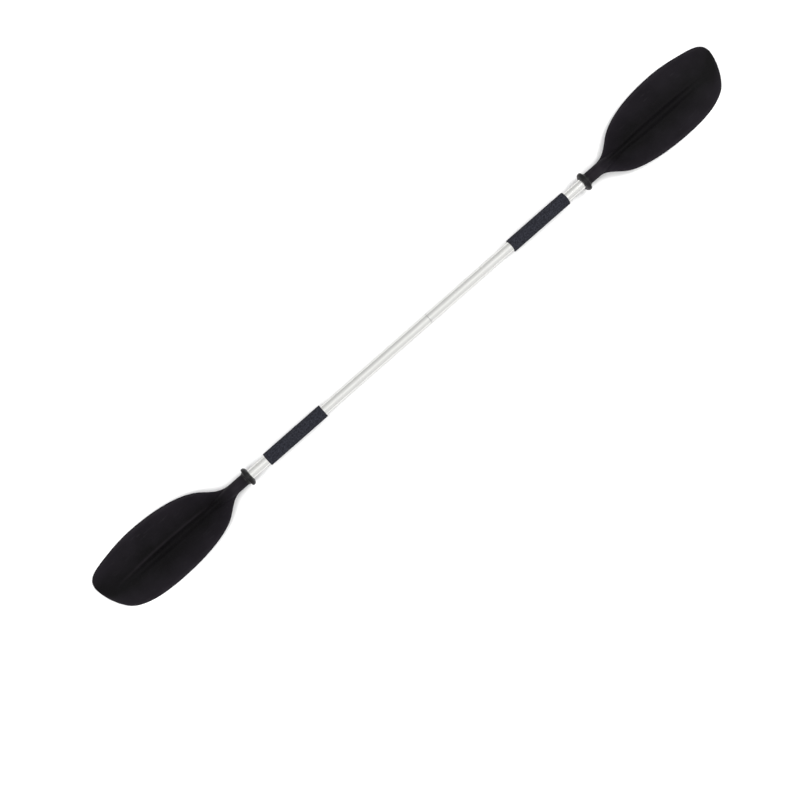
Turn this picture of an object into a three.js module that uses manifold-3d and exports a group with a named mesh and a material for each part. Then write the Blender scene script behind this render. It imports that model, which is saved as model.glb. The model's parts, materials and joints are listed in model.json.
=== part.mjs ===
// A two-piece kayak paddle that lies flat, its blades in line, in millimetres.
// +X runs along the shaft to the right blade, +Y to the blades' long edges, and +Z up.
// Each half is drawn on the +X side, at its real distance from the paddle's middle, about a shaft
// axis at y = 0, z = 0. The left half is mirrored, and the whole paddle is then laid on z = 0.
import * as THREE from 'three';
import { mergeVertices } from 'three/addons/utils/BufferGeometryUtils.js';
import Module from 'manifold-3d';

const wasm = await Module();
wasm.setup();
const mix = THREE.MathUtils.lerp;
const ease = THREE.MathUtils.smoothstep;

// Driving dimensions. "From" and "to" are distances from the paddle's middle.
const PADDLE_LENGTH = 2200;
const GAP = 0.3; // play between pieces that touch
const SIDES = 32; // flats round a turned piece
const SMALL_SIDES = 14; // flats round a rivet or button

const SHAFT_RADIUS = 15;
const TUBE_WALL = 1.2;
const TUBE_TO = 655; // each tube's outer end, inside the blade's socket
const SEAM_AT = 39.4; // the joint lies a little to the right of the middle
const SEAM_WIDTH = 1;

const FERRULE_WALL = 1.2;
const FERRULE_IN_LEFT = 98; // length riveted into the left tube
const FERRULE_IN_RIGHT = 104; // length that slides into the right tube
const FERRULE_RIVETS_BACK = [28, 68]; // behind the seam

const BUTTON_PAST_SEAM = 27;
const BUTTON_RADIUS = 4;
const BUTTON_PROUD = 2.2; // height above the tube
const BUTTON_ROUNDING = 1.5;
const BUTTON_FLANGE = 5.4;
const FLANGE_THICKNESS = 0.8;
const FEATHER_STEP = Math.PI / 3; // angle between the right tube's three button holes
const SPRING_WIDTH = 8;
const SPRING_THICKNESS = 0.7;
const SPRING_LENGTH = 42;
const SPRING_PAST_BUTTON = 8; // how far each leg's free end reaches past the button's centre
const SPRING_SPREAD = 1.2; // how much further out the plain leg's free end stands
const END_PLUG_SPIGOT = 12;
const END_PLUG_CAP = 2.5;
const END_PLUG_CHAMFER = 1.3;

const GRIP_FROM = 333.5;
const GRIP_TO = 531;
const GRIP_RADIUS = 19;
const GRIP_ROUNDING = 2.5;

const RING_FROM = 590;
const RING_LENGTH = 19; // its skirt reaches over the neck's mouth
const RING_RADIUS = 27.5;
const RING_CREST = 9; // the ring is widest this far behind its front
const RING_LIP = 3.8; // length from there to the lip's back
const RING_LIP_DROP = 1.8; // how far the lip rounds down over that length
const RING_WALL = 1.4; // thickness at the front and of the skirt

const FLOAT_PLUG_FROM = 584;
const FLOAT_PLUG_LENGTH = 35;
const INNER_PLUG_PAST_FERRULE = 22;
const BLADE_RIVET_AT = 632;
const RIVET_SHANK = 1.6;
const RIVET_HEAD = 3.4;
const RIVET_BULB = 2.6;
const RIVET_HEAD_HEIGHT = 1.1;
const RIVET_BULB_LENGTH = 2.2;
const RIVET_BULB_INSIDE = 0.6; // play between the bulb and the wall's inside

const NECK_FROM = 600;
const NECK_RADIUS = 16.7;
const NECK_BLEND = 105; // length over which the round neck sinks into the blade
const BLADE_TO = PADDLE_LENGTH / 2;
const BLADE_FROM = 642; // where the neck starts to widen
const FLARE_TO = 720; // where it has become a flat blade
const EDGE_HALF = 1.2; // half of the blade's thickness at its edge
const CORE_HALF = 1.9; // half of its thickness beside the spine
const EDGE_SQUARENESS = 12; // a higher power makes the edge squarer
const EDGE_CROWDING = 0.8; // how much the section's points crowd towards the spine
const MIDDLE_SHARE = 0.85; // past this share of the outline the section's centre moves to the tip
const TIP_DROP = 24.5; // how far the blade curves down by its tip
const CURVE_POWER = 1.6; // how its curve builds up towards the tip
const CAMBER = 11; // how far its edges sit below its spine
const CAMBER_FADE = 90; // the camber dies out over this length at the tip
const SPINE_RISE = 4.2;
const SPINE_HALF_MIN = 6;
const SPINE_HALF_MAX = 12.5;
const SPINE_FROM = 690;
const SPINE_TO = 1068;
const SPINE_NARROW_BY = 750; // the neck's ridge is as narrow as the spine from here
const SPINE_LEVEL_TO = 900; // the spine starts to fade into the blade here
const SPINE_ROUNDNESS = 0.8; // 0.5 is a round ridge, and a higher power flares out at its foot
const SPINE_FILLET = 2.5;
const ROOT_FILLET = 13; // where the neck runs out into the blade
const STATIONS = 34; // cross-sections along a blade

const TUBE_BORE = SHAFT_RADIUS - TUBE_WALL;
const FERRULE_RADIUS = TUBE_BORE - GAP;
const FERRULE_BORE = FERRULE_RADIUS - FERRULE_WALL;
const SOCKET_RADIUS = SHAFT_RADIUS + GAP;
const FERRULE_TO = SEAM_AT + FERRULE_IN_RIGHT;
const BUTTON_AT = SEAM_AT + BUTTON_PAST_SEAM;
const HALF_SEAM = SEAM_WIDTH / 2;
// The button's flange sits low enough in the sleeve to clear its round wall.
const FLANGE_TOP = Math.sqrt(FERRULE_BORE ** 2 - BUTTON_FLANGE ** 2) - 1.2 * GAP;
const SOCKET_TO = TUBE_TO + 1;
const DOWN = Math.PI; // a turn about +X that takes +Z to -Z

// ---------- shape helpers ----------

// Turns a profile of [distance along, radius] points about +Y. It runs round the metal with the
// metal on its left, and either starts and ends on the axis or is closed here.
function turnedAboutY(profile, sides) {
  const points = profile.map(([along, radius]) => new THREE.Vector2(radius, along));
  if (points[0].x > 0) {
    points.push(points[0].clone());
  }
  return new THREE.LatheGeometry(points, sides, Math.PI / sides);
}

// A turned piece about the shaft's axis, with a flat facing straight down.
function turned(profile) {
  return turnedAboutY(profile, SIDES).rotateZ(-Math.PI / 2);
}

// A tube about the shaft's axis.
function tube(from, to, bore, radius) {
  return turned([[from, bore], [from, radius], [to, radius], [to, bore]]);
}

// A plug about the shaft's axis.
function plug(from, to, radius) {
  return turned([[from, 0], [from, radius], [to, radius], [to, 0]]);
}

// Stands a piece that points along +Y out of the shaft: at a distance along it, turned about +X
// from straight up.
function standOut(geometry, along, turn) {
  return geometry.rotateX(Math.PI / 2 + turn).translate(along, 0, 0);
}

// A small turned piece that stands out of the shaft, its profile in [height, radius] points.
function stud(profile, along, turn) {
  return standOut(turnedAboutY(profile, SMALL_SIDES), along, turn);
}

// A cylinder that drills through one wall of the shaft.
function drill(radius, along, turn) {
  const depth = 2 * NECK_RADIUS;
  const cylinder = new THREE.CylinderGeometry(radius, radius, depth, SMALL_SIDES);
  return standOut(cylinder.translate(0, depth / 2, 0), along, turn);
}

// A cubic Bezier curve through the plane, from its four corners.
function bezier(...corners) {
  return new THREE.CubicBezierCurve(...corners.map((corner) => new THREE.Vector2(...corner)));
}

function toManifold(geometry) {
  const bare = geometry.clone();
  bare.deleteAttribute('normal');
  bare.deleteAttribute('uv');
  const merged = mergeVertices(bare);
  return new wasm.Manifold(new wasm.Mesh({
    numProp: 3,
    vertProperties: merged.attributes.position.array,
    triVerts: merged.index.array,
  }));
}

function drilled(geometry, drills) {
  let body = toManifold(geometry);
  for (const tool of drills) {
    body = body.subtract(toManifold(tool));
  }
  const { vertProperties, triVerts } = body.getMesh();
  const result = new THREE.BufferGeometry();
  result.setAttribute('position', new THREE.BufferAttribute(vertProperties, 3));
  result.setIndex(new THREE.BufferAttribute(triVerts, 1));
  return result;
}

// A closed skin through rings of points that all have the same number of points, with a fan at
// each end.
function skin(rings, startPoint, endPoint) {
  const around = rings[0].length;
  const points = [...rings.flat(), startPoint, endPoint];
  const start = points.length - 2;
  const end = points.length - 1;
  const lastRing = (rings.length - 1) * around;
  const index = [];
  for (let i = 0; i < around; i += 1) {
    const next = (i + 1) % around;
    index.push(start, next, i);
    index.push(end, lastRing + i, lastRing + next);
    for (let row = 0; row < lastRing; row += around) {
      index.push(row + i, row + next, row + around + next);
      index.push(row + i, row + around + next, row + around + i);
    }
  }
  const geometry = new THREE.BufferGeometry().setFromPoints(points);
  geometry.setIndex(index);
  return geometry;
}

function mesh(name, geometry, colour, roughness, metalness) {
  const material = new THREE.MeshStandardMaterial({ color: colour, roughness, metalness });
  const result = new THREE.Mesh(geometry, material);
  result.name = name;
  return result;
}

const aluminium = (name, geometry) => mesh(name, geometry, 0xd9dadb, 0.28, 0.9);
const rubber = (name, geometry) => mesh(name, geometry, 0x17181b, 0.6, 0);
const foam = (name, geometry) => mesh(name, geometry, 0x2b3036, 0.95, 0);
const steel = (name, geometry) => mesh(name, geometry, 0xa9abad, 0.35, 0.9);
const greyRubber = (name, geometry) => mesh(name, geometry, 0x8c8d8f, 0.6, 0);
const plastic = (name, geometry) => mesh(name, geometry, 0x1c1b21, 0.55, 0);

// ---------- blade ----------

// A side of the blade's outline: a start point, then Bezier pieces of two controls and an end,
// all as [distance from the paddle's middle, y].
function outlineSide(start, pieces) {
  const path = new THREE.CurvePath();
  let from = start;
  for (const piece of pieces) {
    path.add(bezier(from, ...piece));
    from = piece.at(-1);
  }
  return path;
}

const TIP = [BLADE_TO, 44];
const SHORT_SIDE = outlineSide([NECK_FROM, -NECK_RADIUS], [
  [[612, -NECK_RADIUS], [628, -NECK_RADIUS], [BLADE_FROM, -NECK_RADIUS]],
  [[668, -NECK_RADIUS], [692, -47.2], [720, -60]],
  [[755, -76], [815, -88.3], [905, -88.3]],
  [[975, -88.3], [1028, -80], [1057, -55]],
  [[1076, -38], [BLADE_TO, 8], TIP],
]);
const LONG_SIDE = outlineSide([NECK_FROM, NECK_RADIUS], [
  [[615, NECK_RADIUS], [635, NECK_RADIUS], [650, NECK_RADIUS]],
  [[690, NECK_RADIUS], [710, 47], [735, 62]],
  [[785, 92], [860, 100.5], [930, 100.5]],
  [[985, 100.5], [1040, 89.2], [1064, 82]],
  [[1084, 76], [BLADE_TO, 66], TIP],
]);

// Half of the spine's width: narrow at both ends and widest in between.
function spineHalf(along) {
  const run = THREE.MathUtils.clamp((along - SPINE_FROM) / (SPINE_TO - SPINE_FROM), 0, 1);
  return SPINE_HALF_MIN + (SPINE_HALF_MAX - SPINE_HALF_MIN) * Math.sin(Math.PI * run);
}

// Height of the round neck, and of the spine that it turns into, over the blade's middle plane.
// Under the blade there is no spine.
function ridgeHeight(along, y, onTop) {
  const sunk = ease(along, SOCKET_TO, TUBE_TO + NECK_BLEND);
  const spineHeight = (CORE_HALF + SPINE_RISE) * (1 - ease(along, SPINE_LEVEL_TO, SPINE_TO));
  const spine = onTop ? spineHeight : 0;
  const narrowed = ease(along, SOCKET_TO, SPINE_NARROW_BY);
  const halfWidth = mix(NECK_RADIUS, spineHalf(along), narrowed);
  const across = Math.min(Math.abs(y) / halfWidth, 1);
  const power = mix(0.5, SPINE_ROUNDNESS, narrowed);
  return mix(NECK_RADIUS, spine, sunk) * (1 - across * across) ** power;
}

// The larger of two heights, with a fillet of about the given size where they cross.
function filleted(first, second, size) {
  const near = Math.max(size - Math.abs(first - second), 0);
  return Math.max(first, second) + (size > 0 ? (near * near) / (4 * size) : 0);
}

// Points round the blade's section that spans its two sides at the same share of their lengths.
function bladeSection(share) {
  const short = SHORT_SIDE.getPoint(share);
  const long = LONG_SIDE.getPoint(share);
  const middle = mix(0, (short.y + long.y) / 2, ease(share, MIDDLE_SHARE, 1));
  const flare = ease((short.x + long.x) / 2, BLADE_FROM, FLARE_TO);
  const points = [];
  for (let i = 0; i < SIDES; i += 1) {
    const angle = (2 * Math.PI * i) / SIDES;
    const cosine = i === SIDES / 4 || i === (3 * SIDES) / 4 ? 0 : Math.cos(angle);
    const out = Math.abs(cosine) ** (1 + EDGE_CROWDING * flare); // 0 on the spine, 1 at the edge
    const y = mix(middle, cosine < 0 ? short.y : long.y, out);
    const along = mix(short.x, long.x, (y - short.y) / (long.y - short.y));
    const plate = mix(CORE_HALF, EDGE_HALF, out * out) * Math.sqrt(1 - out ** EDGE_SQUARENESS);
    const onTop = i < SIDES / 2;
    const fillet = mix(ROOT_FILLET, SPINE_FILLET, ease(along, FLARE_TO, SPINE_LEVEL_TO));
    const ridge = ridgeHeight(along, y, onTop);
    const half = filleted(plate, ridge, fillet * flare * (1 - out * out));
    const run = Math.max(along - BLADE_FROM, 0) / (BLADE_TO - BLADE_FROM);
    const bend = TIP_DROP * run ** CURVE_POWER;
    const faded = ease(along, BLADE_TO - CAMBER_FADE, BLADE_TO);
    const cup = CAMBER * flare * (1 - faded) * out * out;
    points.push(new THREE.Vector3(along, y, (onTop ? half : -half) - bend - cup));
  }
  return points;
}

function circle(along, radius) {
  const points = [];
  for (let i = 0; i < SIDES; i += 1) {
    const angle = (2 * Math.PI * i) / SIDES;
    points.push(new THREE.Vector3(along, radius * Math.cos(angle), radius * Math.sin(angle)));
  }
  return points;
}

// A blade with its neck, whose socket takes the tube.
function bladeGeometry() {
  const rings = [circle(SOCKET_TO, SOCKET_RADIUS), circle(NECK_FROM, SOCKET_RADIUS)];
  for (let i = 0; i < STATIONS; i += 1) {
    rings.push(bladeSection(i / STATIONS));
  }
  const socketEnd = new THREE.Vector3(SOCKET_TO, 0, 0);
  const tip = new THREE.Vector3(...TIP, -TIP_DROP);
  return skin(rings, socketEnd, tip);
}

// ---------- pieces on both halves ----------

const BLADE_RIVET_TURNS = [(3 * Math.PI) / 4, (5 * Math.PI) / 4]; // both under the neck

// A blind rivet through walls that reach from one radius out to another.
function rivetGeometry(wallFrom, wallTo, along, turn) {
  const bulbTop = wallFrom - RIVET_BULB_INSIDE;
  const bulbEnd = bulbTop - RIVET_BULB_LENGTH;
  const headBase = wallTo + GAP;
  return stud([
    [bulbEnd, 0],
    [mix(bulbEnd, bulbTop, 0.2), RIVET_BULB * 0.7],
    [mix(bulbEnd, bulbTop, 0.7), RIVET_BULB],
    [bulbTop, RIVET_SHANK],
    [headBase, RIVET_SHANK],
    [headBase, RIVET_HEAD],
    [headBase + RIVET_HEAD_HEIGHT / 2, RIVET_HEAD * 0.8],
    [headBase + RIVET_HEAD_HEIGHT, 0],
  ], along, turn);
}

function rivetDrill(along, turn) {
  return drill(RIVET_SHANK + GAP, along, turn);
}

function bladeRivetDrills() {
  return BLADE_RIVET_TURNS.map((turn) => rivetDrill(BLADE_RIVET_AT, turn));
}

function gripGeometry() {
  const bore = SHAFT_RADIUS + GAP;
  const shoulder = GRIP_RADIUS - GRIP_ROUNDING;
  return turned([
    [GRIP_FROM, bore],
    [GRIP_FROM, shoulder],
    [GRIP_FROM + GRIP_ROUNDING, GRIP_RADIUS],
    [GRIP_TO - GRIP_ROUNDING, GRIP_RADIUS],
    [GRIP_TO, shoulder],
    [GRIP_TO, bore],
  ]);
}

// A drip ring: it swells from the tube to a lip, falls back behind it in a hollow curve, and ends
// in a skirt over the neck's mouth.
function dripRingGeometry() {
  const bore = SHAFT_RADIUS + GAP;
  const front = bore + RING_WALL;
  const crest = RING_FROM + RING_CREST;
  const lipTo = crest + RING_LIP;
  const lipRadius = RING_RADIUS - RING_LIP_DROP;
  const ringTo = RING_FROM + RING_LENGTH;
  const skirtBore = NECK_RADIUS + GAP;
  const skirt = skirtBore + RING_WALL;
  const stepAt = NECK_FROM - GAP;
  const swell = bezier(
    [RING_FROM, front],
    [mix(RING_FROM, crest, 0.05), mix(front, RING_RADIUS, 0.5)],
    [mix(RING_FROM, crest, 0.4), RING_RADIUS],
    [crest, RING_RADIUS],
  );
  const lip = bezier(
    [crest, RING_RADIUS],
    [mix(crest, lipTo, 0.6), RING_RADIUS],
    [lipTo, mix(lipRadius, RING_RADIUS, 0.6)],
    [lipTo, lipRadius],
  );
  const back = bezier(
    [lipTo, lipRadius],
    [lipTo, mix(lipRadius, skirt, 0.6)],
    [mix(lipTo, ringTo, 0.3), mix(lipRadius, skirt, 0.85)],
    [ringTo, skirt],
  );
  return turned([
    [RING_FROM, bore],
    ...swell.getPoints(6).map((point) => point.toArray()),
    ...lip.getPoints(3).slice(1).map((point) => point.toArray()),
    ...back.getPoints(6).slice(1).map((point) => point.toArray()),
    [ringTo, skirtBore],
    [stepAt, skirtBore],
    [stepAt, bore],
  ]);
}

// The pieces that are alike on both halves, on the +X side.
function sidePieces(side) {
  const rivets = BLADE_RIVET_TURNS.map((turn, i) => (
    steel(`blade_rivet_${side}_${i + 1}`, rivetGeometry(TUBE_BORE, NECK_RADIUS, BLADE_RIVET_AT, turn))
  ));
  const floatPlug = plug(FLOAT_PLUG_FROM, FLOAT_PLUG_FROM + FLOAT_PLUG_LENGTH, TUBE_BORE - GAP);
  return [
    plastic(`blade_${side}`, drilled(bladeGeometry(), bladeRivetDrills())),
    rubber(`drip_ring_${side}`, dripRingGeometry()),
    foam(`grip_${side}`, gripGeometry()),
    foam(`float_plug_${side}`, floatPlug),
    ...rivets,
  ];
}

// ---------- tubes and the joint between them ----------

function ferruleRivetPlaces() {
  return FERRULE_RIVETS_BACK.map((back) => SEAM_AT - back);
}

function leftTube() {
  const ferruleRivetDrills = ferruleRivetPlaces().map((along) => rivetDrill(along, DOWN));
  const mirroredDrills = bladeRivetDrills().map((tool) => tool.translate(-2 * BLADE_RIVET_AT, 0, 0));
  const body = tube(-TUBE_TO, SEAM_AT - HALF_SEAM - GAP, TUBE_BORE, SHAFT_RADIUS);
  return aluminium('shaft_tube_left', drilled(body, [...ferruleRivetDrills, ...mirroredDrills]));
}

// The right tube has three button holes, for a straight paddle and for either feather.
function rightTube() {
  const buttonDrills = [-1, 0, 1].map((step) => (
    drill(BUTTON_RADIUS + GAP, BUTTON_AT, DOWN + step * FEATHER_STEP)
  ));
  const body = tube(SEAM_AT + HALF_SEAM + GAP, TUBE_TO, TUBE_BORE, SHAFT_RADIUS);
  return aluminium('shaft_tube_right', drilled(body, [...buttonDrills, ...bladeRivetDrills()]));
}

function ferruleSleeve() {
  const drills = ferruleRivetPlaces().map((along) => rivetDrill(along, DOWN));
  drills.push(drill(BUTTON_RADIUS + GAP, BUTTON_AT, DOWN));
  const body = tube(SEAM_AT - FERRULE_IN_LEFT, FERRULE_TO, FERRULE_BORE, FERRULE_RADIUS);
  return aluminium('ferrule_sleeve', drilled(body, drills));
}

function ferruleEndPlug() {
  const spigotFrom = FERRULE_TO - END_PLUG_SPIGOT;
  const spigot = FERRULE_BORE - GAP;
  const capFrom = FERRULE_TO + GAP;
  const capTo = capFrom + END_PLUG_CAP;
  return plastic('ferrule_end_plug', turned([
    [spigotFrom, 0],
    [spigotFrom, spigot],
    [capFrom, spigot],
    [capFrom, FERRULE_RADIUS],
    [capTo, FERRULE_RADIUS - END_PLUG_CHAMFER],
    [capTo, 0],
  ]));
}

function snapButton() {
  const top = SHAFT_RADIUS + BUTTON_PROUD;
  return steel('snap_button', stud([
    [FLANGE_TOP - FLANGE_THICKNESS, 0],
    [FLANGE_TOP - FLANGE_THICKNESS, BUTTON_FLANGE],
    [FLANGE_TOP, BUTTON_FLANGE],
    [FLANGE_TOP, BUTTON_RADIUS],
    [top - BUTTON_ROUNDING, BUTTON_RADIUS],
    [top - BUTTON_ROUNDING / 3, BUTTON_RADIUS * 0.75],
    [top, BUTTON_RADIUS * 0.35],
    [top, 0],
  ], BUTTON_AT, DOWN));
}

// The spring's strip runs behind the button, round a bend, and back along the far wall.
function snapSpring() {
  const outer = FLANGE_TOP - FLANGE_THICKNESS - GAP;
  const inner = outer - SPRING_THICKNESS;
  const from = BUTTON_AT - SPRING_PAST_BUTTON;
  const bend = from + SPRING_LENGTH;
  const strip = new THREE.Shape();
  strip.moveTo(from, -outer);
  strip.lineTo(bend, -outer);
  strip.absarc(bend, 0, outer, -Math.PI / 2, Math.PI / 2, false);
  strip.lineTo(from, outer + SPRING_SPREAD);
  strip.lineTo(from, inner + SPRING_SPREAD);
  strip.lineTo(bend, inner);
  strip.absarc(bend, 0, inner, Math.PI / 2, -Math.PI / 2, true);
  strip.lineTo(from, -inner);
  const settings = { depth: SPRING_WIDTH, bevelEnabled: false, curveSegments: 8 };
  const geometry = new THREE.ExtrudeGeometry(strip, settings);
  geometry.rotateX(Math.PI / 2).translate(0, SPRING_WIDTH / 2, 0);
  return steel('snap_spring', geometry);
}

function jointPieces() {
  const rivets = ferruleRivetPlaces().map((along, i) => (
    steel(`ferrule_rivet_${i + 1}`, rivetGeometry(FERRULE_BORE, SHAFT_RADIUS, along, DOWN))
  ));
  const seam = tube(SEAM_AT - HALF_SEAM, SEAM_AT + HALF_SEAM, TUBE_BORE, SHAFT_RADIUS);
  const innerPlugFrom = FERRULE_TO + INNER_PLUG_PAST_FERRULE;
  const innerPlug = plug(innerPlugFrom, innerPlugFrom + FLOAT_PLUG_LENGTH, TUBE_BORE - GAP);
  return [
    leftTube(),
    rightTube(),
    ferruleSleeve(),
    ferruleEndPlug(),
    snapButton(),
    snapSpring(),
    greyRubber('seam_ring', seam),
    foam('float_plug_inner', innerPlug),
    ...rivets,
  ];
}

// ---------- assembly ----------

const rightSide = new THREE.Group();
rightSide.add(...sidePieces('right'));

const leftSide = new THREE.Group();
leftSide.add(...sidePieces('left'));
leftSide.scale.x = -1;

const paddle = new THREE.Group();
paddle.add(rightSide, leftSide, ...jointPieces());

// The origin is on the surface that the paddle lies on, under the middle of its box.
const box = new THREE.Box3().setFromObject(paddle, true);
paddle.position.set(0, -(box.min.y + box.max.y) / 2, -box.min.z);

export default paddle;
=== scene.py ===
"""A two-piece kayak paddle that lies on a pale floor.

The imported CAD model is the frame: it gives the place and size of each piece. Each piece is built
here again with a fine surface, in metres, and gets a material made of nodes. Distances along a
blade are measured from the paddle's middle, as in the CAD model.
"""

import json
import math

import bpy
import numpy as np
from mathutils import Matrix, Vector

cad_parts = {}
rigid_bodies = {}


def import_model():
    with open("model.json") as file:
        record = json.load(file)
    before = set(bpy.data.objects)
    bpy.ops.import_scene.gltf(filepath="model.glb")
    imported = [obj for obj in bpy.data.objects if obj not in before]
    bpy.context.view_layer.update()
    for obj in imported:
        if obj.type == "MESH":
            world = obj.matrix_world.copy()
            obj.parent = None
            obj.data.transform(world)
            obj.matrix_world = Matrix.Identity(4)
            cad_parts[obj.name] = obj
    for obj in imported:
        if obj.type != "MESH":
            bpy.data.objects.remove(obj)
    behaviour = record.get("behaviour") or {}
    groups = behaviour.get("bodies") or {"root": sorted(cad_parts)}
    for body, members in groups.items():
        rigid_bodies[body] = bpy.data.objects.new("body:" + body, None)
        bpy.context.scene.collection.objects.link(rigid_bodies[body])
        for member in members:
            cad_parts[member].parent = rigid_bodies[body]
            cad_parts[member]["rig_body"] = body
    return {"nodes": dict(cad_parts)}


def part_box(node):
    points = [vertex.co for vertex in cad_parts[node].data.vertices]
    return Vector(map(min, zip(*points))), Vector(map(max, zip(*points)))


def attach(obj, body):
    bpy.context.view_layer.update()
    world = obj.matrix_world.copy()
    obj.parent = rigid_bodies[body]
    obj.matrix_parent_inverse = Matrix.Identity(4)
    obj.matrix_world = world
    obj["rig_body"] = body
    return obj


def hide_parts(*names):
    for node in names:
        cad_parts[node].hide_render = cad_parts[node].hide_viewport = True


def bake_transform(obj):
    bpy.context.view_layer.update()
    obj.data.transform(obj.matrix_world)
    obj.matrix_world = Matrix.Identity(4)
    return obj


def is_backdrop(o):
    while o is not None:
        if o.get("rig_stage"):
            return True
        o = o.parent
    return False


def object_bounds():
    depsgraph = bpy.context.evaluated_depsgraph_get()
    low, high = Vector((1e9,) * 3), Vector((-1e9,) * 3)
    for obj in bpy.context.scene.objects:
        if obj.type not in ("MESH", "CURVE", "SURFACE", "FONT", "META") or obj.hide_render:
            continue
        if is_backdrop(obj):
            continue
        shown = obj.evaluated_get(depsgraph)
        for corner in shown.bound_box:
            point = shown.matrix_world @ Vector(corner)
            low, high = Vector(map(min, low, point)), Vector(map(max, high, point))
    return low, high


MM = 0.001

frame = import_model()
CAD_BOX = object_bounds()

# ---------- sizes, in millimetres: the CAD model's, with roundings and fillets added ----------

GAP = 0.3
PADDLE_LENGTH = 2200
SHAFT_RADIUS = 15
TUBE_WALL = 1.2
TUBE_BORE = SHAFT_RADIUS - TUBE_WALL
TUBE_TO = 655
SEAM_AT = 39.4
SEAM_WIDTH = 1
HALF_SEAM = SEAM_WIDTH / 2
SEAM_ROUNDING = 0.3
TUBE_ROUNDING = 0.25

FERRULE_WALL = 1.2
FERRULE_RADIUS = TUBE_BORE - GAP
FERRULE_BORE = FERRULE_RADIUS - FERRULE_WALL
FERRULE_FROM = SEAM_AT - 98
FERRULE_TO = SEAM_AT + 104
FERRULE_RIVETS = (SEAM_AT - 28, SEAM_AT - 68)
FERRULE_ROUNDING = 0.4

BUTTON_AT = SEAM_AT + 27
BUTTON_RADIUS = 4
BUTTON_PROUD = 2.2
BUTTON_FLANGE = 5.4
BUTTON_ROUNDING = 1.5
BUTTON_FLAT = 0.3  # half the flat on the button's end, as a share of its radius
BUTTON_TURN = 180  # underneath, in degrees from straight up
FLANGE_THICKNESS = 0.8
FLANGE_TOP = math.sqrt(FERRULE_BORE**2 - BUTTON_FLANGE**2) - 1.2 * GAP
FEATHER_STEP = 60
SPRING_WIDTH = 8
SPRING_THICKNESS = 0.7
SPRING_LENGTH = 42
SPRING_PAST_BUTTON = 8
SPRING_SPREAD = 1.2
SPRING_ROUNDING = 0.25

GRIP_FROM = 333.5
GRIP_TO = 531
GRIP_RADIUS = 19
GRIP_ROUNDING = 2.5
GRIP_UNEVENNESS = 0.09
GRIP_WAVES = ((9.3, 2), (4.1, -3), (17.0, 5))  # (length / 2 pi, turns round) of each wave

RING_FROM = 590
RING_LENGTH = 19
RING_RADIUS = 27.5
RING_CREST = 9
RING_LIP = 3.8
RING_LIP_DROP = 1.8
RING_WALL = 1.4
RING_ROUNDING = 0.5

FLOAT_PLUG_FROM = 584
FLOAT_PLUG_LENGTH = 35
INNER_PLUG_PAST_FERRULE = 22
FLOAT_PLUG_ROUNDING = 0.8
END_PLUG_SPIGOT = 12
END_PLUG_CAP = 2.5
END_PLUG_CHAMFER = 1.3
END_PLUG_ROUNDING = 0.5

BLADE_RIVET_AT = 632
BLADE_RIVET_TURNS = (135, 225)
RIVET_SHANK = 1.6
RIVET_HEAD = 3.4
RIVET_HEAD_HEIGHT = 1.1
RIVET_BULB = 2.6
RIVET_BULB_LENGTH = 2.2
RIVET_BULB_INSIDE = 0.6
RIVET_BULB_TIP = 0.6  # the bulb's end, as a share of its widest radius
RIVET_RIM = 0.15  # height of the head's edge
RIVET_DOME = 0.65  # the share of the head's radius that curves in
STEM_HOLLOW = 1.0
STEM_HOLLOW_EDGE = (0.12, 0.15)  # how far its chamfered edge goes down and out
STEM_HOLLOW_DEPTH = 0.7
STEM = 0.75
STEM_BELOW_HEAD = 0.25
STEM_SLOPE = 0.05

NECK_FROM = 600
NECK_RADIUS = 16.7
NECK_BLEND = 105
MOUTH_ROUNDING = 0.5
SOCKET_TO = TUBE_TO + 1
SOCKET_RADIUS = SHAFT_RADIUS + GAP
BLADE_TO = PADDLE_LENGTH / 2
BLADE_FROM = 642
FLARE_TO = 720
EDGE_HALF = 1.2
CORE_HALF = 1.9
EDGE_SQUARENESS = 12
EDGE_CROWDING = 0.8
MIDDLE_SHARE = 0.85
TIP_DROP = 24.5
CURVE_POWER = 1.6
CAMBER = 11
CAMBER_FADE = 90
SPINE_RISE = 4.2
SPINE_HALF_MIN = 6
SPINE_HALF_MAX = 12.5
SPINE_FROM = 690
SPINE_TO = 1068
SPINE_NARROW_BY = 750
SPINE_LEVEL_TO = 900
SPINE_ROUNDNESS = 0.8
SPINE_FILLET = 2.5
ROOT_FILLET = 13
HIGHLIGHT_PAST_SPINE = 1.3  # the painted highlight line beside the spine, in halves of the spine's width
HIGHLIGHT_WIDTH = 3.2
HIGHLIGHT_FADE_IN = 60
HIGHLIGHT_FADE_OUT = 90
NECK_PAINTED_LIGHT = 0.95  # the neck's painted lightness: nearly as pale as the blade's edge, which is 1

AROUND = 128  # points round a turned piece
STATIONS = 320  # cross-sections along a blade
STATION_CROWDING = 0.92  # below 1, the sections lie closer towards the tip
BLADE_AROUND = 272  # points round a blade's section
SMOOTH_ANGLE = math.radians(32)
CURVE_STEPS = 24  # points along a curve of a turned piece's profile
NEARLY_STRAIGHT = 3.1  # a corner of more radians than this isn't rounded
SIDE_SHARE = 0.45  # the most of a side that one corner's arc takes up

tube_low, tube_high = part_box("shaft_tube_right")
AXIS_Y = (tube_low.y + tube_high.y) / 2
AXIS_Z = (tube_low.z + tube_high.z) / 2
AXIS = np.array([0, AXIS_Y, AXIS_Z])


# ---------- mesh helpers ----------


def to_object(name, points, faces, mirrored=False):
    """A smooth-shaded object from points in millimetres about the shaft's axis."""
    placed = np.asarray(points, float) * MM
    if mirrored:
        placed = placed * (-1, 1, 1)
        faces = [tuple(reversed(face)) for face in faces]
    mesh = bpy.data.meshes.new(name)
    mesh.from_pydata((placed + AXIS).tolist(), [], faces)
    mesh.validate()
    mesh.shade_smooth()
    mesh.set_sharp_from_angle(angle=SMOOTH_ANGLE)
    made = bpy.data.objects.new(name, mesh)
    bpy.context.scene.collection.objects.link(made)
    return made


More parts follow.
